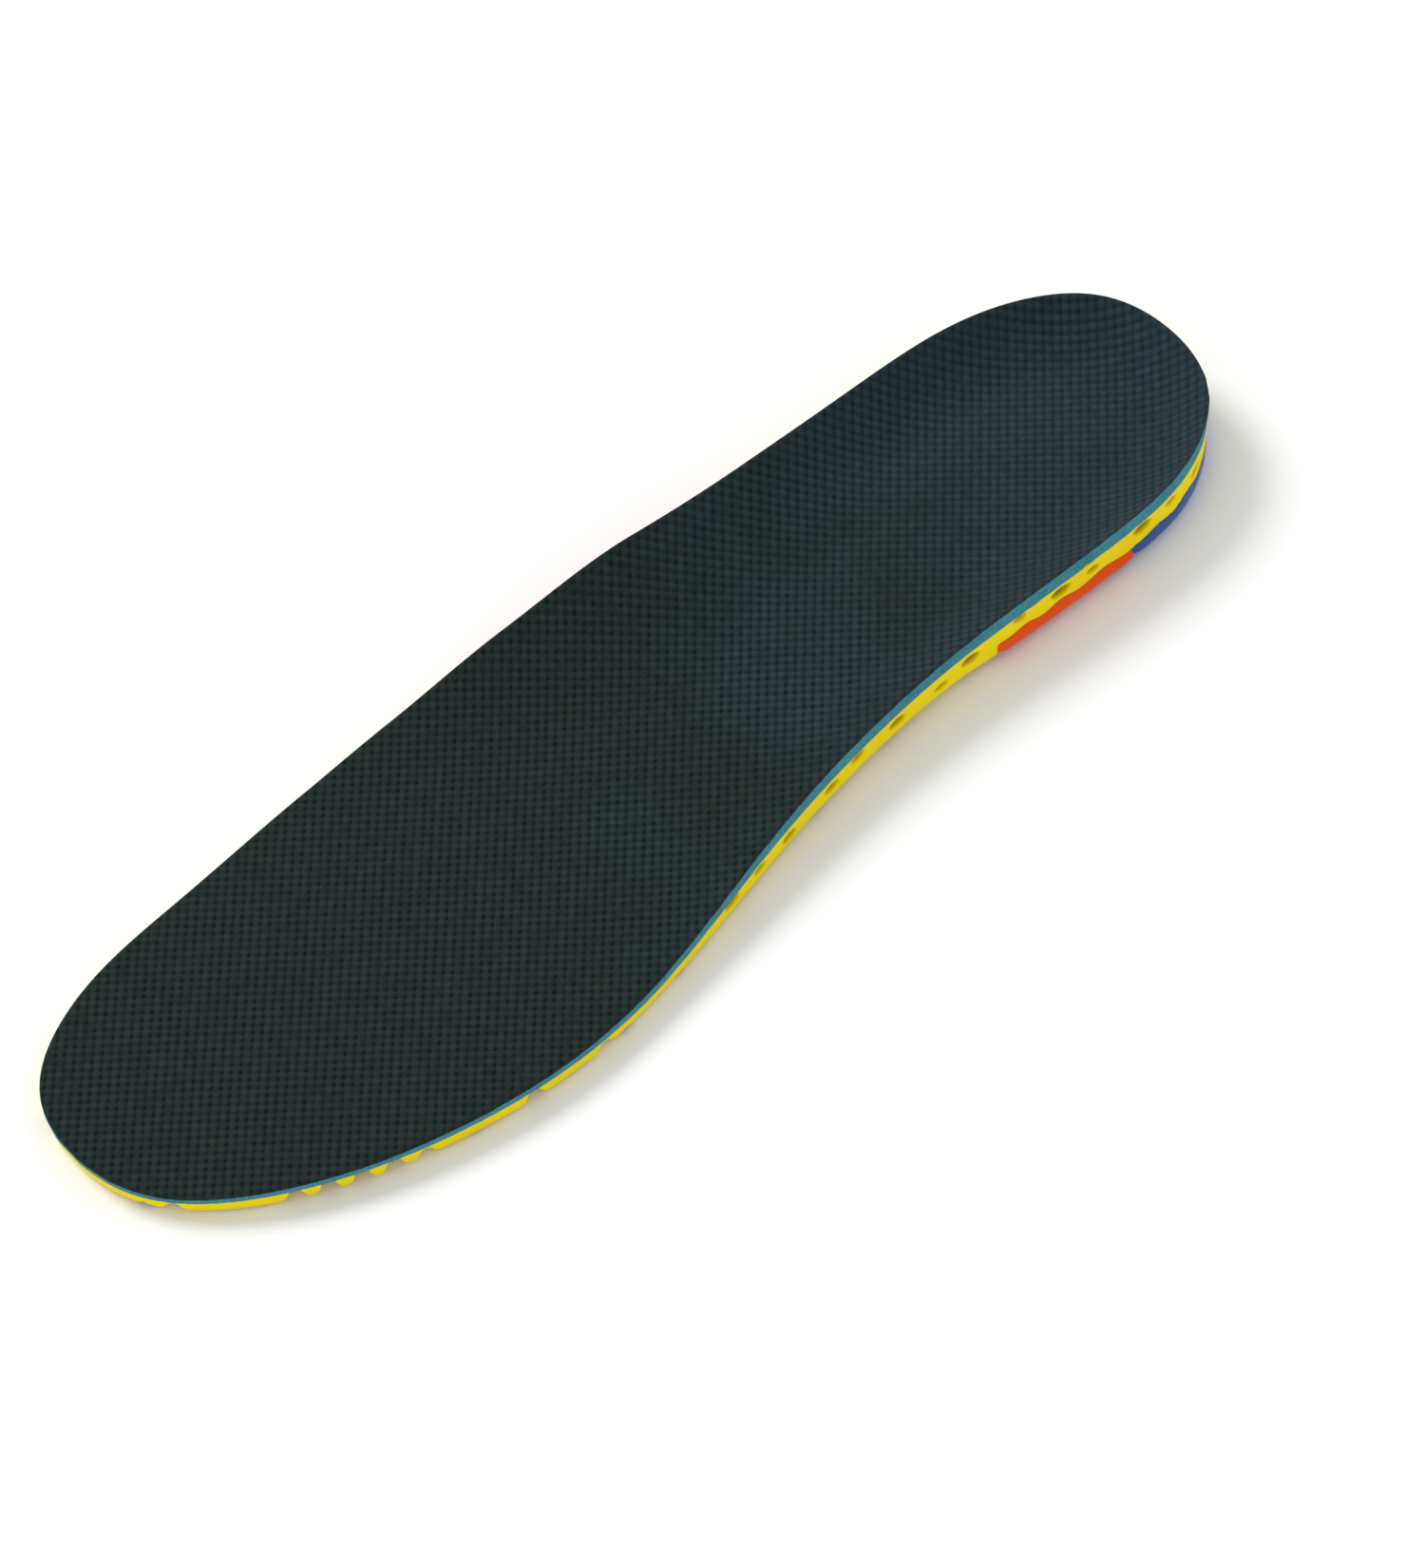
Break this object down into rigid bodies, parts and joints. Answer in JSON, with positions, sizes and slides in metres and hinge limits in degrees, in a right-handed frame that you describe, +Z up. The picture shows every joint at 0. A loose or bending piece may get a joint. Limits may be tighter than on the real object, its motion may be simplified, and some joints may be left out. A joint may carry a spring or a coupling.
{
  "type": "cushioned insole",
  "caption": "Left shoe insole: mesh cover and soft foam over a perforated foam base with heel cup, arch plate and heel pad; the forefoot bends up",
  "frame": {"origin": "on the floor, under the middle of the insole's box", "axes": "+Z up, toe towards -Y, heel towards +Y, outer side towards +X and inner (arch) side towards -X"},
  "size_m": [0.0842, 0.275, 0.0195],
  "materials": {
    "cover_mesh": "dark green-black woven mesh with a square grid of small pits, matt",
    "teal_foam": "soft teal foam, matt, cut edge",
    "yellow_foam": "bright yellow moulded foam, fine satin skin",
    "orange_plate": "orange moulded plastic, satin, with embossed ribs",
    "blue_pad": "blue soft moulded foam, satin, with faint ripples"
  },
  "bodies": {
    "rear": {"top_cover_rear": "cover_mesh", "teal_foam_rear": "teal_foam", "foam_base_rear": "yellow_foam", "arch_plate": "orange_plate", "heel_pad": "blue_pad"},
    "forefoot": {"top_cover_forefoot": "cover_mesh", "teal_foam_forefoot": "teal_foam", "foam_base_forefoot": "yellow_foam"}
  },
  "joints": [
    {"name": "forefoot_flex", "type": "hinge", "parent": "rear", "child": "forefoot", "pos_m": [0, -0.0505, 0.006], "axis": [-0.9614, -0.2753, 0], "range_deg": [0, 60], "stiffness_Nm_per_rad": 0.08}
  ]
}
